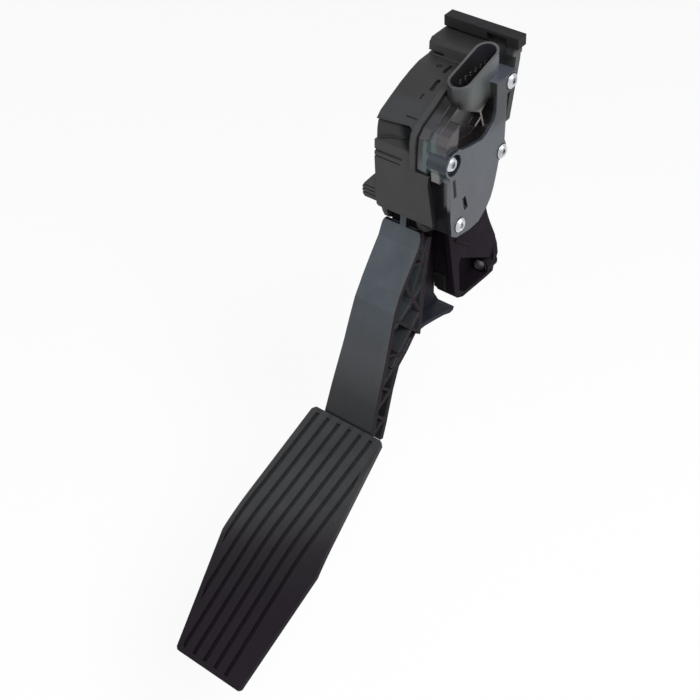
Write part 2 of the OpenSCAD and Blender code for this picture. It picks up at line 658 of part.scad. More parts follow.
module lever() {
    color([0.15, 0.155, 0.165])
    difference() {
        union() {
            along_x(-arm_web_t / 2, arm_web_t / 2) lever_web_side();
            translate([0, lever_shift, 0]) intersection() {
                union() {
                    along_x(-30, 30) lever_front_side();
                    along_x(-30, 30) lever_back_side();
                    along_x(-30, 30) lever_low_back_side();
                    along_x(-30, 30) lever_ribs_side();
                }
                along_y(-130, -20) lever_width();
            }
            translate([0, lever_shift, 0]) along_x(-half_w, half_w) spur_side();
            round_along_x(-hub_half, hub_half, [-pivot_y, 0], hub_r);
            // tail under the springs with the post for the friction lever
            along_x(-4.8, 4.8)
                polygon(side([[-42, 7], [-32.6, 6.6], [-32.6, 8.4], [-25.4, 8.4], [-25.4, 5], [-13.5, 4],
                    [-13.5, -1], [-32, -9], [-42, -9]]));
            // wall across the arm top, inside the housing
            along_x(-screw_tip_x + 1.7, screw_tip_x - 1.7) strip(at([-55.2, -25.6]), at([-50.4, -7]), 2.6);
            // nose for the rest stop
            along_x(-4.8, 4.8) polygon(side([[-56.4, -4.4], [-56.6, -12], [-46, -14], [-44, 0]]));
            // plate under the pad
            pad_place() along_x(-11, 11)
                polygon([for (s = [2 : 8 : 66]) [-s, pad_line(s) - pad_t - carrier_t - 0.3],
                    for (s = [66 : -8 : 2]) [-s, pad_line(s) - pad_t - carrier_t - 3.6]]);
        }
        round_along_x(-20, 20, [-pivot_y, 0], pin_r + fit);
        round_along_x(-6, 6, friction_pin, 1.75);
        // room for the pad and its carrier
        pad_place() along_x(-40, 40)
            polygon([for (s = [-0.3, 20, 40, 62, 66, 69.5, 73, 77, 100, 160])
                    [-s, pad_line(s) - pad_t - carrier_t - 0.3],
                [-160, 40], [0.3, 40]]);
    }
}

// Height of the pad surface above its chord at the distance s from the top edge.
function pad_line(s) = s < pad_bend_s - 12 ? s * pad_slope
    : s > pad_bend_s + 12 ? (pad_l - s) * pad_slope
    : (pad_bend_s - 12) * pad_slope + pad_arc(s - pad_bend_s) ;
function pad_arc(u) = pad_slope * (12 - u * u / 12) / 2 ;

module pad_place() {
    translate([0, pad_top[0], pad_top[1]]) rotate([pad_tilt, 0, 0]) children();
}

// Six-sided outline of the pad; m draws it in by a margin.
module pad_outline(m) {
    l = -21.3;
    r = l + pad_w_top;
    mr = 37;
    ml = mr - pad_w_mid;
    br = 34;
    bl = br - pad_w_low;
    polygon([[l + m + 1.6, -m], [r - m - 1.6, -m], [r - m, -m - 1.8], [mr - m, -pad_bend_s - 6],
        [br - m + 0.1, -pad_l + m + 1.4], [br - m - 1.4, -pad_l + m], [bl + m + 1, -pad_l + m],
        [bl + m - 0.3, -pad_l + m + 1.2], [ml + m, -pad_bend_s - 9.5], [l + m, -m - 2]]);
}

// Band that follows the bent surface between two depths.
module pad_band(h0, h1, s0, s1) {
    mids = [for (s = [pad_bend_s - 12 : 3 : pad_bend_s + 12]) if (s > s0 && s < s1) s];
    st = concat([s0], mids, [s1]);
    n = len(st);
    polygon([for (s = st) [-s, pad_line(s) + h1], for (i = [n - 1 : -1 : 0]) [-st[i], pad_line(st[i]) + h0]]);
}

module pad_cover() {
    color([0.09, 0.085, 0.09])
    pad_place() difference() {
        intersection() {
            along_x(-40, 60) pad_band(-pad_t, 0, 0, pad_l);
            translate([0, 0, -40]) linear_extrude(height = 80) pad_outline(0);
        }
        intersection() {
            for (k = [0 : groove_count - 1])
                along_x(groove_x0 + k * groove_pitch - groove_w / 2,
                    groove_x0 + k * groove_pitch + groove_w / 2)
                    pad_band(-groove_depth, 3, 2, pad_l - 2);
            translate([0, 0, -40]) linear_extrude(height = 80) pad_outline(groove_margin);
        }
    }
}

module pad_carrier() {
    rim_in = 4;
    color([0.12, 0.12, 0.125])
    pad_place() {
        intersection() {
            along_x(-40, 60) pad_band(-pad_t - carrier_t, -pad_t - 0.02, 0, pad_l);
            translate([0, 0, -40]) linear_extrude(height = 80) pad_outline(rim_in);
        }
        difference() {
            intersection() {
                along_x(-40, 60) pad_band(-pad_t - carrier_t - 4, -pad_t - carrier_t + 0.1, 8, pad_l);
                translate([0, 0, -40]) linear_extrude(height = 80) pad_outline(rim_in);
            }
            difference() {
                translate([0, 0, -40]) linear_extrude(height = 80) pad_outline(rim_in + 1.8);
                for (x = [-14.6, 14.6, 25.5]) along_x(x - 0.8, x + 0.8) pad_band(-20, 0, 0, pad_l);
                for (s = [76, 92, 108, 124]) translate([-40, -s, -40]) cube([100, 1.6, 80]);
            }
            along_x(-13, 13) pad_band(-30, 0, 0, 70);
        }
    }
}

module pivot_pin() {
    color([0.72, 0.73, 0.75])
    difference() {
        union() {
            round_along_x(-half_w - 2.2, half_w + 0.2, [-pivot_y, 0], pin_r);
            round_along_x(half_w, board_x + board_t + 6.6, [-pivot_y, 0], pin_end_r);
        }
        // groove for the clip
        difference() {
            round_along_x(-half_w - 1.3, -half_w - 0.3, [-pivot_y, 0], pin_r + 1);
            round_along_x(-half_w - 2, -half_w + 1, [-pivot_y, 0], pin_r - 0.8);
        }
        // flat that turns the rotor
        block(board_x + board_t + 1.0,
            board_x + board_t + 10, -pivot_y + pin_end_r * 0.6, -pivot_y + 6, -6, 6);
    }
}

// Bush with a flange on its inner end, which lies at x = 0.
module bush() {
    difference() {
        union() {
            rotate([0, 90, 0]) cylinder(r = bush_r, h = wall);
            translate([-bush_flange_t, 0, 0]) rotate([0, 90, 0]) cylinder(r = bush_r + 2.5,
                h = bush_flange_t - 0.03);
            translate([-0.1, 0, 0]) rotate([0, 90, 0]) cylinder(r = bush_r - 0.2, h = 0.2);
        }
        translate([-5, 0, 0]) rotate([0, 90, 0]) cylinder(r = pin_r + bush_gap, h = wall + 10);
    }
}

module right_bush() {
    color([0.8, 0.78, 0.7]) translate([in_w, -pivot_y, 0]) bush();
}

module left_bush() {
    color([0.8, 0.78, 0.7]) translate([-in_w, -pivot_y, 0]) rotate([0, 0, 180]) bush();
}

module pin_clip() {
    color([0.5, 0.51, 0.53])
    difference() {
        round_along_x(-half_w - 1.15, -half_w - 0.45, [-pivot_y, 0], pin_r + 3);
        round_along_x(-half_w - 3, -half_w + 1, [-pivot_y, 0], pin_r - 0.75);
        block(-half_w - 3, -half_w + 1, -pivot_y - 2.4, -pivot_y + 2.4, 0, 12);
    }
}

module wiper_rotor() {
    x0 = board_x + board_t + 1.3;
    color([0.75, 0.72, 0.62])
    difference() {
        union() {
            round_along_x(x0, x0 + 2.2, [-pivot_y, 0], rotor_r);
            round_along_x(x0, x0 + 4.6, [-pivot_y, 0], 5.4);
            along_x(x0 + 0.1, x0 + 3.4)
                for (a = [0 : 60 : 300]) translate([-pivot_y, 0]) rotate(a)
                    translate([4, -0.6]) square([rotor_r - 5, 1.2]);
        }
        difference() {
            round_along_x(x0 - 1, x0 + 8, [-pivot_y, 0], pin_end_r + fit);
            block(x0 - 2, x0 + 9, -pivot_y + pin_end_r * 0.6 + fit, -pivot_y + 6, -6, 6);
        }
    }
}

// Sprung metal fingers that slide on the tracks.
module wiper_contacts() {
    x0 = board_x + board_t;
    color([0.8, 0.66, 0.36])
    for (r = [8.4, 11.4], side = [-0.45, 0.45]) translate([0, -pivot_y, 0]) {
        block(x0 + 1.0, x0 + 1.28, r + side - 0.3, r + side + 0.3, -1.6, 2.2);
        block(x0 + 0.2, x0 + 1.1, r + side - 0.3, r + side + 0.3, -1.9, -1.5);
    }
}

// Sensor board: a round disc with a tongue up to the terminals.
module sensor_board() {
    color([0.1, 0.32, 0.18])
    difference() {
        along_x(board_x, board_x + board_t) {
            translate([-pivot_y, 0]) circle(r = board_r);
            polygon(side([[-36.8, 10], [-26.5, 10], [-22.5, 16], [-16.5, 18], [-13, 25], [-13, 33.4],
                [-36.8, 33.4]]));
        }
        round_along_x(board_x - 1, board_x + board_t + 1, [-pivot_y, 0], 4.6);
        round_along_x(board_x - 1, board_x + board_t + 1, screw_d, column_r + 0.3);
    }
}

// Printed tracks on the board, parts of two rings.
module resistive_tracks() {
    x0 = board_x + board_t + 0.02;
    color([0.06, 0.06, 0.07])
    for (r = [8.4, 11.4]) translate([x0, -pivot_y, 0]) rotate([0, 90, 0])
        rotate([0, 0, 20]) rotate_extrude(angle = 140, $fn = 144) translate([r - 0.9, 0]) square([1.8, 0.12]);
}

module connector_terminals() {
    color([0.78, 0.74, 0.6])
    for (k = [0 : terminal_count - 1])
        translate([0, terminal_y(k), 0]) {
            block(board_x + board_t + 0.05, board_x + board_t + 0.85, -0.75, 0.75, 31, 51);
            block(board_x + board_t + 0.2, board_x + board_t + 0.7, -0.5, 0.5, 50.9, 52.2);
        }
}

// Height of the wire at t turns: closed ends, even pitch between them.
function coil_z(t, e, p, ends, total) = t < ends ? e * t
    : t > total - ends ? e * ends + p * (total - 2 * ends) + e * (t - total + ends)
    : e * ends + p * (t - ends);

// Coil spring with closed ends, standing on z = 0.
module coil(r, w, turns, h) {
    steps = 16;
    sides = 6;
    ends = 0.85;
    total = turns + 2 * ends;
    e = 2 * w + 0.15;
    p = (h - 2 * w - 2 * e * ends) / turns;
    n = floor(total * steps);
    points = [for (i = [0 : n], j = [0 : sides - 1])
        let (t = total * i / n, a = 360 * t, b = 360 * j / sides)
        [(r + w * cos(b)) * cos(a), (r + w * cos(b)) * sin(a), w + coil_z(t, e, p, ends,
            total) + w * sin(b)]];
    walls = [for (i = [0 : n - 1], j = [0 : sides - 1])
        let (k = (j + 1) % sides)
        [i * sides + j, i * sides + k, (i + 1) * sides + k, (i + 1) * sides + j]];
    polyhedron(points, concat([[for (j = [sides - 1 : -1 : 0]) j]],
        walls, [[for (j = [0 : sides - 1]) n * sides + j]]));
}

module outer_return_spring() {
    color([0.55, 0.56, 0.58])
    translate([0, spring_y, seat_z + 0.1]) coil(spring_r, spring_wire, spring_turns,
        upper_seat_z - seat_z - 0.2);
}

module inner_return_spring() {
    color([0.6, 0.61, 0.63])
    translate([0, spring_y, seat_z + 0.1]) coil(inner_spring_r, inner_wire, inner_turns,
        upper_seat_z - seat_z - 0.2);
}

module upper_spring_seat() {
    color([0.7, 0.7, 0.68])
    translate([0, spring_y, 0]) {
        translate([0, 0, upper_seat_z]) cylinder(r = 7.6, h = 44.35 - upper_seat_z);
        translate([0, 0, upper_seat_z - 4]) cylinder(r = 2.7, h = 4.2);
    }
}

module friction_lever() {
    color([0.72, 0.7, 0.62]) {
        along_x(-4.8, 4.8)
            polygon(side([[-12.6, 9.8], [-12.6, seat_z], [-30, seat_z], [-33.4, 14.0], [-47, 14.0],
                [-47, 12.0], [-34, 11.6], [-31.4, 9.8]]));
        round_along_x(-4.8, 4.8, friction_pin, 1.6);
        translate([0, spring_y, 9.8]) cylinder(r = 7.6, h = seat_z - 9.8);
        translate([0, spring_y, seat_z - 0.1]) cylinder(r = 2.7, h = 4.1);
    }
}

module friction_shoe() {
    color([0.35, 0.22, 0.14])
    intersection() {
        round_along_x(-4.8, 4.8, [-pivot_y, 0], drum_rub_r - 0.15);
        block(-6, 6, sy(-47), sy(-34.2), 14.05, 30);
    }
}

module rest_buffer() {
    color([0.05, 0.05, 0.05])
    along_x(-4, 4) polygon(side([[wall_y(-11.6) + 0.03, -11.6], [wall_y(-5) + 0.03, -5], [-56.9, -5],
        [-56.9, -11.6]]));
}

module full_travel_buffer() {
    color([0.05, 0.05, 0.05])
    along_x(5.4, 11.4) polygon(side([[-38.75, -62], [-37.95, -71.6], [-39.9, -70.8], [-40.0, -63]]));
}

housing();
sensor_cover();
cover_seal();
cover_screws();
lever();
pad_carrier();
pad_cover();
pivot_pin();
left_bush();
right_bush();
pin_clip();
wiper_rotor();
wiper_contacts();
sensor_board();
resistive_tracks();
connector_terminals();
outer_return_spring();
inner_return_spring();
upper_spring_seat();
friction_lever();
friction_shoe();
rest_buffer();
full_travel_buffer();
foot_sleeve();
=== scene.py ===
"""Looks of the hanging accelerator pedal: materials, light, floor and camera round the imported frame."""
import math
from functools import cached_property

import bpy
from mathutils import Matrix, Vector


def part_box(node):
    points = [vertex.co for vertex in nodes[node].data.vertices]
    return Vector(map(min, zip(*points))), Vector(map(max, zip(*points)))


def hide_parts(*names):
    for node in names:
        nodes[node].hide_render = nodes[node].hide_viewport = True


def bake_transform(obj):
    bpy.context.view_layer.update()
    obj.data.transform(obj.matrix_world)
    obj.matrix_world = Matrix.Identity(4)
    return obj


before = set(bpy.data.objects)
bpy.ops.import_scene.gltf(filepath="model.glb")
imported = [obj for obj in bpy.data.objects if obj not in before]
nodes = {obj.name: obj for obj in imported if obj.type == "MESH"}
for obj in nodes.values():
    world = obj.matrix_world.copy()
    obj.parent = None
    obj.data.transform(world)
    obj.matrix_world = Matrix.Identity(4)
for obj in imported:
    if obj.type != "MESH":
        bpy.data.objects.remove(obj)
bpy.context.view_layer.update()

# Camera: place and directions in the frame, lens and sensor in millimetres
CAM_POS = Vector((0.3213, -0.4743, 0.3793))
CAM_RIGHT = Vector((0.7842, 0.6186, -0.0484))
CAM_UP = Vector((-0.3909, 0.5531, 0.7357))
CAM_LENS = 70.8
CAM_SENSOR = 36.0
CAM_NEAR, CAM_FAR = 0.01, 20

# Places and directions on the object, in metres of the frame. A pair in brackets says where a mask starts
# and where it is full, and three numbers in brackets are a direction.
MOUTH_X, MOUTH_Y = 0.0185, -0.0266
MOUTH_HALF, MOUTH_RADIUS = 0.00965, 0.00485
LEFT_SCREW_Y, LEFT_SCREW_Z = -0.0560, 0.0214
BOSS_RADIUS = 0.0065
FOOT_TOP = (-0.014, -0.030)
SHROUD_START = (0.0380, 0.0410)
DRUM_SLANT = (1.0, 0.0, 0.35)
DRUM_END, BLOCK_START = 0.0312, 0.0324
RECESS_SLANT = (1.0, 0.0, 0.6)
ARM_SIDE = (-0.35, -0.15)
TREAD_UP = (-0.39, 0.553, 0.736)
FIRST_GROOVE_X, GROOVE_PITCH = -0.0166, 0.0068

# Return springs: turns at each end that lie close, gaps, and how finely the wire is divided
CLOSED_END = 0.85
COIL_GAP = 0.00015
FOOT_GAP = 0.00035
SPRING_STEPS = 36
WIRE_SIDES = 12

# Studio: the floor glows a little less near the object, so that the shadow shows
FLOOR_Z, FLOOR_SIZE = -0.30, 40
FLOOR_COLOR = (0.92, 0.92, 0.92)
NEAR_GLOW, ADDED_GLOW = 0.82, 0.18
ADDED_FROM, ADDED_TO = 0.45, 2.2
SKY_COLOR = (0.96, 0.98, 1.0)
SKY_LIGHT, SKY_SEEN = 0.45, 1.0
LIGHT_TARGET = Vector((0, -0.1, -0.03))


def make_camera():
    data = bpy.data.cameras.new("camera")
    data.sensor_width = CAM_SENSOR
    data.lens = CAM_LENS
    data.clip_start, data.clip_end = CAM_NEAR, CAM_FAR
    cam = bpy.data.objects.new("camera", data)
    bpy.context.scene.collection.objects.link(cam)
    right = CAM_RIGHT.normalized()
    back = right.cross(CAM_UP).normalized()
    up = back.cross(right)
    cam.matrix_world = Matrix.Translation(CAM_POS) @ Matrix((right, up, back)).transposed().to_4x4()
    bpy.context.scene.camera = cam


make_camera()


class Tree:
    """Short calls for building the nodes of a material or of the world.

    A mask is a value between 0 and 1 over the surface that says how strongly something shows there.
    """

    def __init__(self, owner, shader):
        owner.use_nodes = True
        self.owner = owner
        self.nt = owner.node_tree
        self.shader = self.nt.nodes[shader]

    def put(self, node, inputs):
        """Fills each input with a value, a colour or the socket that feeds it."""
        for key, value in inputs.items():
            socket = node.inputs[key]
            if isinstance(value, bpy.types.NodeSocket):
                self.nt.links.new(value, socket)
            elif socket.type == "RGBA":
                socket.default_value = (*value, 1)
            else:
                socket.default_value = value

    def node(self, kind, inputs=(), **settings):
        made = self.nt.nodes.new(kind)
        for key, value in settings.items():
            setattr(made, key, value)
        self.put(made, dict(inputs))
        return made

    def calc(self, operation, *values):
        return self.node("ShaderNodeMath", enumerate(values), operation=operation).outputs[0]

    def scaled(self, mask, share):
        return self.calc("MULTIPLY", mask, share)

    def all_of(self, first, *others):
        """The product of masks: strong only where all of them are."""
        for other in others:
            first = self.calc("MULTIPLY", first, other)
        return first

    def any_of(self, first, *others):
        """The strongest of the masks at each place."""
        for other in others:
            first = self.calc("MAXIMUM", first, other)
        return first

    @cached_property
    def coord(self):
        """The place of the surface in the frame."""
        return self.node("ShaderNodeTexCoord").outputs["Object"]

    @cached_property
    def place(self):
        """The three coordinates of that place, by axis."""
        return self.node("ShaderNodeSeparateXYZ", {0: self.coord}).outputs

    @cached_property
    def facing(self):
        """How far the surface faces along each axis."""
        normal = self.node("ShaderNodeNewGeometry").outputs["True Normal"]
        return self.node("ShaderNodeSeparateXYZ", {0: normal}).outputs

    def along(self, direction):
        """How far the surface lies along a slanting direction."""
        dot = self.node("ShaderNodeVectorMath", {0: self.coord, 1: direction}, operation="DOT_PRODUCT")
        return dot.outputs["Value"]

    def offset(self, axis, middle):
        """How far the surface lies beyond a place on an axis."""
        return self.calc("SUBTRACT", self.place[axis], middle)

    def distance(self, a, b):
        """The length spanned by two offsets at right angles."""
        return self.calc("SQRT", self.calc("ADD", self.calc("MULTIPLY", a, a), self.calc("MULTIPLY", b, b)))

    def spread(self, value, low, high, span=(0.3, 0.7)):
        """A value spread evenly from its span to the range low to high."""
        inputs = {"Value": value, "From Min": span[0], "From Max": span[1], "To Min": low, "To Max": high}
        return self.node("ShaderNodeMapRange", inputs).outputs["Result"]

    def ramp(self, value, low, high, top=1.0):
        """0 at low and top at high, with a smooth passage."""
        inputs = {"Value": value, "From Min": low, "From Max": high, "To Max": top}
        return self.node("ShaderNodeMapRange", inputs, interpolation_type="SMOOTHSTEP").outputs["Result"]

    def at(self, axis, low, high, top=1.0):
        """A ramp over the place of the surface on an axis."""
        return self.ramp(self.place[axis], low, high, top)

    def turned(self, axis, low, high, top=1.0):
        """A ramp over how far the surface faces along an axis."""
        return self.ramp(self.facing[axis], low, high, top)

    def band(self, axis, low, high, soft=0.0012, top=1.0):
        """The stretch between two places on an axis, with soft ends."""
        rise = self.at(axis, low - soft, low + soft, top)
        return self.all_of(rise, self.at(axis, high + soft, high - soft))

    def noise(self, scale, detail=3.0, rough=0.5, stretch=None):
        coord = self.coord
        if stretch:
            coord = self.node("ShaderNodeMapping", {"Vector": coord, "Scale": stretch}).outputs["Vector"]
        inputs = {"Vector": coord, "Scale": scale, "Detail": detail, "Roughness": rough}
        return self.node("ShaderNodeTexNoise", inputs).outputs["Fac"]

    def mix(self, mask, a, b):
        """The colour a mixed towards the colour b by a mask."""
        inputs = {"Factor": mask, "A": a, "B": b}
        return self.node("ShaderNodeMix", inputs, data_type="RGBA").outputs["Result"]

    def soft_normal(self, radius, samples=6):
        """The normal of the surface as if its edges were rounded."""
        return self.node("ShaderNodeBevel", {"Radius": radius}, samples=samples).outputs["Normal"]

    def worn_edges(self, radius):
        """About 1 on worn edges and 0 on flat faces."""
        flat = self.node("ShaderNodeNewGeometry").outputs["Normal"]
        inputs = {0: self.soft_normal(radius, samples=4), 1: flat}
        likeness = self.node("ShaderNodeVectorMath", inputs, operation="DOT_PRODUCT").outputs["Value"]
        return self.spread(likeness, 0.0, 1.0, span=(0.985, 0.80))

    def grained(self, height, depth, strength, round_by):
        """The normal of a rounded surface with a fine grain."""
        soft = self.soft_normal(round_by)
        inputs = {"Height": height, "Distance": depth, "Strength": strength, "Normal": soft}
        return self.node("ShaderNodeBump", inputs).outputs["Normal"]

    def seen_rays(self):
        """1 for what is seen directly, mirrored or through glass, 0 for what only gives light."""
        path = self.node("ShaderNodeLightPath")
        kinds = ("Is Camera Ray", "Is Glossy Ray", "Is Transmission Ray")
        return self.any_of(*(path.outputs[kind] for kind in kinds))


def new_material(name):
    return Tree(bpy.data.materials.new(name), "Principled BSDF")


def plastic(name, dark, light, edge, rough, grain, grain_depth, round_by=0.0006, streak=None, shine=0.5,
            zones=None, dull=None, wear_by=1.0, cloud_scale=38):
    """Moulded plastic or rubber: cloudy colour, fine grain, softened and slightly paler edges.

    zones gives masks with the painted light and shade that show there, and dull a mask of the places that
    shine less.
    """
    t = new_material(name)
    clouds = t.noise(cloud_scale, detail=4, rough=0.6, stretch=streak)
    color = t.mix(t.spread(clouds, 0, 1), dark, light)
    scratches = t.spread(t.noise(scale=160, detail=3), 0.25 * wear_by, wear_by)
    color = t.mix(t.all_of(t.worn_edges(round_by), scratches), color, edge)
    for mask, painted_color in zones(t) if zones else []:
        color = t.mix(mask, color, painted_color)
    patches = t.noise(scale=90, detail=5, rough=0.6, stretch=streak)
    t.put(t.shader, {
        "Base Color": color,
        "Specular IOR Level": shine,
        "Roughness": t.spread(patches, rough - 0.06, rough + 0.07),
        "Normal": t.grained(t.noise(grain, detail=2, rough=0.55), grain_depth, 0.5, round_by),
    })
    if dull:
        t.put(t.shader, {"Specular IOR Level": t.ramp(dull(t), 1.0, 0.0, shine)})
    return t.owner


def metal(name, dark, light, rough):
    """Bare or plated metal with a fine grain and slightly rounded edges."""
    t = new_material(name)
    t.put(t.shader, {
        "Metallic": 1.0,
        "Base Color": t.mix(t.spread(t.noise(scale=220, detail=4), 0, 1), dark, light),
        "Roughness": t.spread(t.noise(scale=500, detail=3), rough - 0.07, rough + 0.08),
        "Normal": t.grained(t.noise(scale=900, detail=3), depth=0.00003, strength=0.4, round_by=0.00025),
    })
    return t.owner


# Masks and zones of the housing, where light and shade are painted into the colour. In these and the next
# ones, the two numbers after an axis say where a mask starts and where it is full, or where a band begins
# and ends.
def seen_side(t):
    """Faces that look to the front or to the sensor side, and less those at the back and the left."""
    return t.all_of(t.turned("X", -0.7, -0.2), t.turned("Y", 0.7, 0.2))


# The lower part of the housing on the seen sides, where shade is painted in a purplish dark and the shine
# is less
def housing_foot(t, top):
    return t.all_of(t.at("Z", *FOOT_TOP, top), seen_side(t))


def corner_recess(t):
    """The recess in the upper front corner."""
    return t.all_of(t.at("X", 0.0092, 0.0080), t.at("Y", -0.0530, -0.0550),
                    t.band("Z", 0.0240, 0.0345, 0.001))


def recess_end(t):
    """The deep right end of that recess."""
    return t.all_of(corner_recess(t), t.ramp(t.along(RECESS_SLANT), 0.0170, 0.0235))


def housing_painted_shading(t):
    """Painted shade makes the foot, the recess, the bar, the top and the panel edge darker; painted light
    makes the front, the panel rim, the plate and the bend above the recess paler, the bend bluish.
    """
    front = t.turned("Y", -0.75, -0.95, 0.85)
    panel_rim = t.all_of(t.band("X", 0.0092, 0.0114, 0.0004, 0.6), t.at("Z", 0.014, 0.018))
    roof = t.at("Z", 0.0475, 0.0495, 0.45)
    bar = t.at("Z", 0.0545, 0.0560, 0.8)
    bend = t.all_of(t.band("Z", 0.0355, 0.0430, 0.0018), t.at("Y", -0.0440, -0.0490, 0.55))
    plate = t.all_of(t.at("X", 0.0110, 0.0130), t.band("Z", 0.0400, 0.0540),
                     t.at("Y", -0.0130, -0.0110, 0.9))
    panel_edge = t.all_of(t.band("Z", -0.0150, 0.0145), t.at("Y", -0.0575, -0.0585),
                          t.turned("X", 0.6, 0.9), t.at("X", 0.0160, 0.0175))
    return [
        # painted light on the faces that look to the front and on the panel rim
        (front, (0.034, 0.0325, 0.0325)),
        (panel_rim, (0.040, 0.040, 0.041)),
        # painted shade on the top and on the hook bar
        (roof, (0.010, 0.010, 0.0105)),
        (bar, (0.0135, 0.0130, 0.0145)),
        # painted bluish sheen on the bend and painted light on the plate
        (bend, (0.034, 0.0355, 0.041)),
        (plate, (0.060, 0.063, 0.062)),
        # painted shade in the recess, deepest at its right end, and on the panel edge
        (corner_recess(t), (0.0150, 0.0152, 0.0155)),
        (recess_end(t), (0.0060, 0.0075, 0.0085)),
        (panel_edge, (0.0050, 0.0040, 0.0050)),
        # painted shade, purplish, on the foot
        (housing_foot(t, 1.0), (0.0105, 0.0072, 0.0108)),
    ]


def housing_dull(t):
    """The foot and the end of the recess hardly shine, the hook bar shines less than the roof."""
    return t.any_of(housing_foot(t, 0.8), t.at("Z", 0.0540, 0.0560, 0.6), t.scaled(recess_end(t), 0.8))


# Masks and zones of the side cover and its connector shroud, where light and shade are painted into the
# colour
def connector_mouth(t):
    """The inside of the shroud: an upright slot with round ends."""
    beyond_half = t.calc("SUBTRACT", t.calc("ABSOLUTE", t.offset("Y", MOUTH_Y)), MOUTH_HALF)
    from_middle = t.distance(t.offset("X", MOUTH_X), t.calc("MAXIMUM", beyond_half, 0.0))
    slot = t.ramp(from_middle, MOUTH_RADIUS + 0.0002, MOUTH_RADIUS - 0.0001)
    return t.all_of(slot, t.at("Z", 0.0400, 0.0420, 0.95))


def shroud_foot(t):
    """The front foot of the shroud and the roof in front of it."""
    return t.all_of(t.at("Z", 0.0465, 0.0420, 0.75), t.at("Z", 0.0370, 0.0385), t.turned("X", 1.02, 0.45),
                    t.band("Y", -0.0485, -0.0330, 0.0030))


def far_face(t):
    """The upper back part of the cover's face."""
    return t.all_of(t.at("Y", -0.034, -0.023, 0.8), t.at("Z", 0.020, 0.027), t.turned("X", 0.8, 0.95),
                    t.at("X", 0.0278, 0.0284))


def beside_panel(t):
    """The shadowed front faces of the cover, between the front panel and the face."""
    front = t.turned("Y", -0.55, -0.85)
    side = t.all_of(t.turned("X", 0.5, 0.85), t.at("X", 0.0215, 0.0205), t.at("Y", -0.050, -0.053))
    reach = t.any_of(t.at("X", 0.0250, 0.0228), t.at("Z", 0.0000, -0.0045))
    return t.all_of(t.any_of(front, side), t.band("Z", -0.0275, 0.0122, 0.0004), reach)


def screw_boss(t):
    """The wall of the boss round the left screw."""
    from_screw = t.distance(t.offset("Y", LEFT_SCREW_Y), t.offset("Z", LEFT_SCREW_Z))
    near = t.ramp(from_screw, BOSS_RADIUS + 0.0005, BOSS_RADIUS, 0.9)
    return t.all_of(near, t.at("X", 0.0174, 0.0182), t.turned("X", 0.9, 0.6))


def drum_painted_shading(t):
    """Painted light and shade on the flange, the stepped drum, the bay beside it and the strip in front:
    painted shade on the flange, the step, the bay, the block (brownish) and the faces beside the panel,
    painted light on a low bluish patch, on the drum and on the strip.
    """
    slant = t.along(DRUM_SLANT)
    flange = t.all_of(t.at("X", 0.0173, 0.0170, 0.85), t.at("Z", 0.018, 0.027))
    step = t.all_of(t.band("X", 0.0165, 0.0179, 0.0003, 0.7), t.at("Z", 0.030, 0.033))
    below = t.all_of(t.band("X", 0.0135, 0.0200, 0.001), t.band("Z", 0.0140, 0.0215, 0.002),
                     t.at("Y", -0.0530, -0.0560, 0.6))
    drum = t.all_of(t.ramp(slant, BLOCK_START, DRUM_END), t.at("X", 0.0148, 0.0156),
                    t.band("Z", 0.0145, 0.0320, 0.0012), t.at("Y", -0.0530, -0.0560))
    bay = t.all_of(t.at("X", 0.0276, 0.0264), t.band("Y", -0.0530, -0.0170), t.at("X", 0.0176, 0.0182),
                   t.band("Z", 0.0180, 0.0425, 0.0018))
    block = t.all_of(t.ramp(slant, DRUM_END, BLOCK_START), t.at("X", 0.0275, 0.0268),
                     t.band("Y", -0.0660, -0.0500), t.band("Z", 0.0290, 0.0365))
    strip = t.all_of(t.turned("Y", -0.55, -0.85), t.band("Z", -0.0025, 0.0150, 0.0020),
                     t.at("X", 0.0235, 0.0255, 0.9))
    return [
        (flange, (0.0135, 0.0130, 0.0150)),
        (step, (0.010, 0.010, 0.011)),
        (below, (0.055, 0.062, 0.070)),
        (drum, (0.060, 0.084, 0.084)),
        (bay, (0.0085, 0.0066, 0.0068)),
        (block, (0.034, 0.028, 0.032)),
        (strip, (0.108, 0.106, 0.114)),
        (beside_panel(t), (0.0125, 0.0110, 0.0140)),
    ]


def shroud_painted_shading(t):
    """Painted light and shade on the shroud: painted light on its side, its ledge, its back and its rim,
    painted shade on its round end and in its mouth.
    """
    shroud = t.at("Z", *SHROUD_START)
    side = t.all_of(t.turned("X", 0.3, 0.9, 0.7), shroud)
    round_end = t.all_of(t.turned("Y", -0.25, -0.75, 0.85), shroud, t.at("Z", 0.0520, 0.0440))
    ledge = t.all_of(t.turned("Z", 0.5, 0.9, 0.9), t.at("Z", 0.0420, 0.0435), t.at("Y", -0.0270, -0.0240))
    behind = t.all_of(t.at("Y", -0.0230, -0.0175, 0.7), shroud)
    rim = t.all_of(t.turned("Z", 0.6, 0.85, 0.75), t.at("Z", 0.0510, 0.0525))
    return [
        (side, (0.048, 0.055, 0.050)),
        (round_end, (0.024, 0.022, 0.021)),
        (ledge, (0.105, 0.115, 0.140)),
        (behind, (0.066, 0.073, 0.090)),
        (rim, (0.066, 0.062, 0.067)),
        (connector_mouth(t), (0.0100, 0.0080, 0.0096)),
    ]


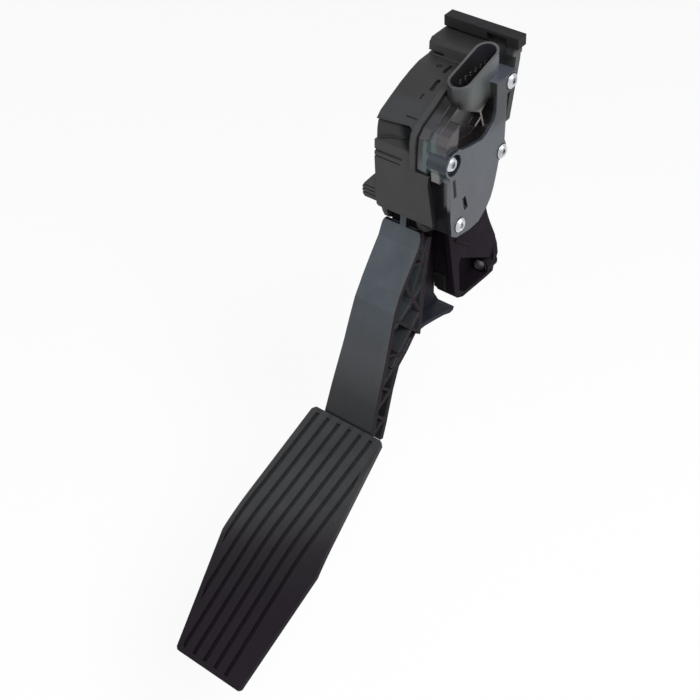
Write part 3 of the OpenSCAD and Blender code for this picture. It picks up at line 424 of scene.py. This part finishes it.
def face_painted_shading(t):
    """Painted shade on the wall of the boss and on the far top of the face, painted highlights on the ledge
    and the rib on the face, and a painted shadow on the roof in front of the shroud.
    """
    ledge = t.all_of(t.band("Y", -0.066, -0.0582, 0.0003), t.band("Z", 0.0127, 0.0200, 0.0004),
                     t.band("X", 0.0197, 0.0240, 0.0004, 0.8))
    rib = t.all_of(t.band("X", 0.0240, 0.0248, 0.0002), t.turned("X", 0.8, 0.95),
                   t.band("Y", -0.0350, -0.0250), t.band("Z", 0.0235, 0.0355))
    return [
        (screw_boss(t), (0.016, 0.023, 0.032)),
        (ledge, (0.155, 0.15, 0.15)),
        (rib, (0.12, 0.115, 0.11)),
        (shroud_foot(t), (0.0110, 0.0102, 0.0098)),
        (far_face(t), (0.022, 0.026, 0.028)),
    ]


# All the painted light and shade of the cover
def cover_painted_shading(t):
    return drum_painted_shading(t) + shroud_painted_shading(t) + face_painted_shading(t)


def cover_dull(t):
    """The mouth, the foot of the shroud, the shadowed sides and the far part of the face shine less."""
    dull = t.any_of(connector_mouth(t), shroud_foot(t), beside_panel(t), t.scaled(screw_boss(t), 0.6),
                    t.scaled(far_face(t), 0.6))
    return t.scaled(dull, 0.85)


# Masks and zones of the lever, where light and shade are painted into the colour
def spur_side(t, top):
    """The part of the arm that points back, apart from faces that look to the front."""
    return t.all_of(t.at("Y", -0.066, -0.060, top), t.turned("Y", -0.55, -0.35))


def neck(t):
    """Both sides of the web above the top of the arm, in the shade of the front panel."""
    from_middle = t.calc("ABSOLUTE", t.place["X"])
    return t.all_of(t.at("Z", -0.0240, -0.0234, 0.95), t.ramp(from_middle, 0.0017, 0.0021))


def lever_painted_shading(t):
    """Painted shade darkens the arm and makes it neutral lower down, leaving it bluish near the top;
    painted light on the right rim; painted shade on the sides, the spur and the neck.
    """
    middle = t.at("Z", -0.045, -0.085, 0.85)
    lower_end = t.at("Z", -0.078, -0.106, 0.85)
    right_rim = t.all_of(t.at("X", 0.0075, 0.0125, 0.5), t.at("Z", -0.100, -0.060))
    side = t.turned("Y", *ARM_SIDE, 0.96)
    spur = t.all_of(spur_side(t, 0.9), t.at("Z", -0.074, -0.079))
    return [
        (middle, (0.031, 0.032, 0.036)),
        (lower_end, (0.0130, 0.0132, 0.0152)),
        (right_rim, (0.047, 0.047, 0.046)),
        (side, (0.0165, 0.0165, 0.0185)),
        (t.all_of(side, seen_side(t)), (0.0135, 0.0088, 0.0130)),
        (spur, (0.0165, 0.0190, 0.0260)),
        (neck(t), (0.0055, 0.0055, 0.0062)),
    ]


def lever_dull(t):
    """The sides, the ribs and the spur hardly shine."""
    side = t.turned("Y", *ARM_SIDE, 0.8)
    return t.any_of(side, spur_side(t, 0.8), t.at("Z", -0.080, -0.110, 0.35), neck(t))


# Masks and zones of the tread, where shade is painted into the colour
def pad_painted_shading(t):
    """Painted shade darkens the grooves, and the tread towards its lower end, with a trace of violet."""
    wave = t.calc("FRACT", t.calc("DIVIDE", t.offset("X", FIRST_GROOVE_X), GROOVE_PITCH))
    from_ridge = t.calc("ABSOLUTE", t.calc("SUBTRACT", wave, 0.5))
    groove = t.all_of(t.ramp(from_ridge, 0.22, 0.36, 0.55), t.at("X", 0.0265, 0.0245))
    height = t.along(TREAD_UP)
    return [
        (groove, (0.0135, 0.0138, 0.0145)),
        (t.ramp(height, -0.184, -0.206, 0.85), (0.0125, 0.0092, 0.0130)),
        (t.ramp(height, -0.200, -0.235, 0.7), (0.0080, 0.0050, 0.0086)),
    ]


def pad_dull(t):
    """The tread shines less towards its lower end."""
    return t.ramp(t.along(TREAD_UP), -0.170, -0.215, 0.55)


MATERIALS = {
    "housing": plastic(
        "housing_plastic", dark=(0.0150, 0.0150, 0.0155), light=(0.0255, 0.0253, 0.0255),
        edge=(0.055, 0.055, 0.057), rough=0.56, grain=1500, grain_depth=0.00012, shine=0.30, wear_by=0.8,
        zones=housing_painted_shading, dull=housing_dull),
    "cover": plastic(
        "cover_plastic", dark=(0.030, 0.0350, 0.0450), light=(0.046, 0.0530, 0.0660),
        edge=(0.12, 0.127, 0.135), rough=0.30, grain=1900, grain_depth=0.00004,
        zones=cover_painted_shading, dull=cover_dull),
    "lever": plastic(
        "lever_plastic", dark=(0.0205, 0.0305, 0.0395), light=(0.038, 0.050, 0.0605),
        edge=(0.055, 0.060, 0.066), rough=0.46, grain=1700, grain_depth=0.0001, shine=0.4, wear_by=0.6,
        streak=(1.0, 1.2, 0.8), cloud_scale=75, zones=lever_painted_shading, dull=lever_dull),
    "pad": plastic(
        "pad_rubber", dark=(0.0240, 0.0246, 0.0257), light=(0.0350, 0.0357, 0.0370),
        edge=(0.05, 0.05, 0.052), rough=0.66, grain=2100, grain_depth=0.00016, shine=0.22, wear_by=0.7,
        round_by=0.0005, zones=pad_painted_shading, dull=pad_dull),
    "carrier": plastic(
        "carrier_plastic", dark=(0.014, 0.014, 0.0145), light=(0.021, 0.021, 0.022),
        edge=(0.05, 0.05, 0.05), rough=0.52, grain=1500, grain_depth=0.0001),
    "seal": plastic(
        "seal_rubber", dark=(0.006, 0.006, 0.006), light=(0.010, 0.010, 0.010), edge=(0.02, 0.02, 0.02),
        rough=0.8, grain=2400, grain_depth=0.0001, round_by=0.0002, shine=0.12),
    "natural": plastic(
        "natural_plastic", dark=(0.42, 0.39, 0.30), light=(0.55, 0.51, 0.41), edge=(0.65, 0.62, 0.52),
        rough=0.40, grain=1600, grain_depth=0.00005, round_by=0.0003),
    "board": plastic(
        "board_laminate", dark=(0.012, 0.07, 0.030), light=(0.018, 0.10, 0.045), edge=(0.06, 0.16, 0.09),
        rough=0.38, grain=1300, grain_depth=0.00003, round_by=0.0002),
    "track": plastic(
        "track_ink", dark=(0.006, 0.006, 0.007), light=(0.012, 0.012, 0.014), edge=(0.03, 0.03, 0.03),
        rough=0.45, grain=2500, grain_depth=0.00002, round_by=0.0001),
    "lining": plastic(
        "friction_lining", dark=(0.09, 0.05, 0.03), light=(0.14, 0.08, 0.045), edge=(0.2, 0.12, 0.08),
        rough=0.7, grain=1200, grain_depth=0.0002, round_by=0.0003),
    "zinc": metal("zinc_steel", dark=(0.36, 0.37, 0.39), light=(0.72, 0.73, 0.75), rough=0.24),
    "wire": metal("spring_wire", dark=(0.30, 0.30, 0.31), light=(0.45, 0.45, 0.46), rough=0.33),
    "contact": metal("contact_metal", dark=(0.60, 0.47, 0.25), light=(0.78, 0.64, 0.38), rough=0.25),
    "sleeve": metal("phosphated_steel", dark=(0.11, 0.105, 0.11), light=(0.20, 0.19, 0.20), rough=0.22),
    "tinned": metal("tinned_metal", dark=(0.07, 0.065, 0.065), light=(0.12, 0.11, 0.11), rough=0.48),
}
MADE_OF = {
    "housing": ["housing"],
    "cover": ["sensor_cover"],
    "lever": ["lever"],
    "pad": ["pad_cover"],
    "carrier": ["pad_carrier"],
    "seal": ["cover_seal", "rest_buffer", "full_travel_buffer"],
    "natural": ["left_bush", "right_bush", "wiper_rotor", "upper_spring_seat", "friction_lever"],
    "board": ["sensor_board"],
    "track": ["resistive_tracks"],
    "lining": ["friction_shoe"],
    "zinc": ["cover_screws", "pivot_pin"],
    "wire": ["pin_clip", "outer_return_spring", "inner_return_spring"],
    "contact": ["wiper_contacts"],
    "sleeve": ["foot_sleeve"],
    "tinned": ["connector_terminals"],
}


def give_materials():
    for material, names in MADE_OF.items():
        for name in names:
            mesh = nodes[name].data
            mesh.materials.clear()
            mesh.materials.append(MATERIALS[material])


give_materials()


# Return springs: smooth coils in the place of the CAD coils
def coil_height(turn, wire, total, height):
    """Height of the wire after some turns: close turns at both ends, even pitch between them."""
    close = 2 * wire + COIL_GAP
    pitch = (height - 2 * wire - 2 * close * CLOSED_END) / (total - 2 * CLOSED_END)
    open_turns = min(max(turn - CLOSED_END, 0.0), total - 2 * CLOSED_END)
    closed_turns = min(turn, CLOSED_END) + max(turn - total + CLOSED_END, 0.0)
    return close * closed_turns + pitch * open_turns


def coil_mesh(name, middle_y, foot, head, radius, wire, turns):
    """A round wire wound about an upright axis, with closed ends."""
    total = turns + 2 * CLOSED_END
    rings = int(total * SPRING_STEPS)
    points, faces = [], []
    for i in range(rings + 1):
        turn = total * i / rings
        around = math.tau * turn
        for j in range(WIRE_SIDES):
            across = math.tau * j / WIRE_SIDES
            r = radius + wire * math.cos(across)
            z = foot + wire * (1 + math.sin(across)) + coil_height(turn, wire, total, head - foot)
            points.append((r * math.cos(around), middle_y + r * math.sin(around), z))
    for i in range(rings):
        ring, next_ring = i * WIRE_SIDES, (i + 1) * WIRE_SIDES
        for j in range(WIRE_SIDES):
            k = (j + 1) % WIRE_SIDES
            faces.append((ring + j, ring + k, next_ring + k, next_ring + j))
    faces.append(tuple(reversed(range(WIRE_SIDES))))
    faces.append(tuple(rings * WIRE_SIDES + j for j in range(WIRE_SIDES)))
    mesh = bpy.data.meshes.new(name)
    mesh.from_pydata(points, [], faces)
    mesh.polygons.foreach_set("use_smooth", [len(face) == 4 for face in faces])
    mesh.update()
    return mesh


def make_spring(name, node, radius, wire, turns):
    """A coil in the place of a node, from just above the bottom of its box to its top."""
    low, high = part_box(node)
    middle_y = (low[1] + high[1]) / 2
    foot, head = low[2] + FOOT_GAP, high[2]
    mesh = coil_mesh(name, middle_y, foot, head, radius, wire, turns)
    mesh.materials.append(MATERIALS["wire"])
    spring = bpy.data.objects.new(name, mesh)
    bpy.context.scene.collection.objects.link(spring)
    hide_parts(node)
    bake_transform(spring)


make_spring("outer_spring_coil", "outer_return_spring", radius=0.0063, wire=0.0008, turns=5)
make_spring("inner_spring_coil", "inner_return_spring", radius=0.0039, wire=0.0006, turns=7)


# Floor, lights and world
def make_floor():
    """A pale floor that glows where it is seen and still takes the shadow of the object."""
    bpy.ops.mesh.primitive_plane_add(size=FLOOR_SIZE, location=(0, 0, FLOOR_Z))
    floor = bpy.context.object
    floor.name = "floor"
    t = new_material("floor_paint")
    t.put(t.shader, {"Base Color": FLOOR_COLOR, "Roughness": 0.8})
    away = t.node("ShaderNodeVectorMath", {0: t.coord}, operation="LENGTH").outputs["Value"]
    share = t.calc("ADD", t.ramp(away, ADDED_FROM, ADDED_TO, ADDED_GLOW), NEAR_GLOW)
    glow = t.node("ShaderNodeEmission")
    parts = {0: t.all_of(t.seen_rays(), share), 1: t.shader.outputs[0], 2: glow.outputs[0]}
    t.put(t.nt.nodes["Material Output"], {"Surface": t.node("ShaderNodeMixShader", parts).outputs[0]})
    floor.data.materials.append(t.owner)


def make_light(name, place, power, size):
    data = bpy.data.lights.new(name, "AREA")
    data.energy, data.size = power, size
    lamp = bpy.data.objects.new(name, data)
    bpy.context.scene.collection.objects.link(lamp)
    lamp.location = place
    lamp.rotation_mode = "QUATERNION"
    lamp.rotation_quaternion = (LIGHT_TARGET - Vector(place)).to_track_quat("-Z", "Y")


def make_world():
    """A pale sky that looks white and gives only part of that as light."""
    world = bpy.data.worlds.new("studio")
    bpy.context.scene.world = world
    t = Tree(world, "Background")
    strength = t.spread(t.seen_rays(), SKY_LIGHT, SKY_SEEN, span=(0.0, 1.0))
    t.put(t.shader, {"Color": SKY_COLOR, "Strength": strength})


make_floor()
make_light("key", place=(0.80, -0.45, 1.05), power=13, size=0.6)
make_light("side", place=(1.1, 0.35, 0.25), power=5, size=0.8)
make_light("fill", place=(-0.9, -0.8, 0.5), power=5, size=1.0)
make_world()
bpy.context.scene.view_settings.view_transform = "Standard"
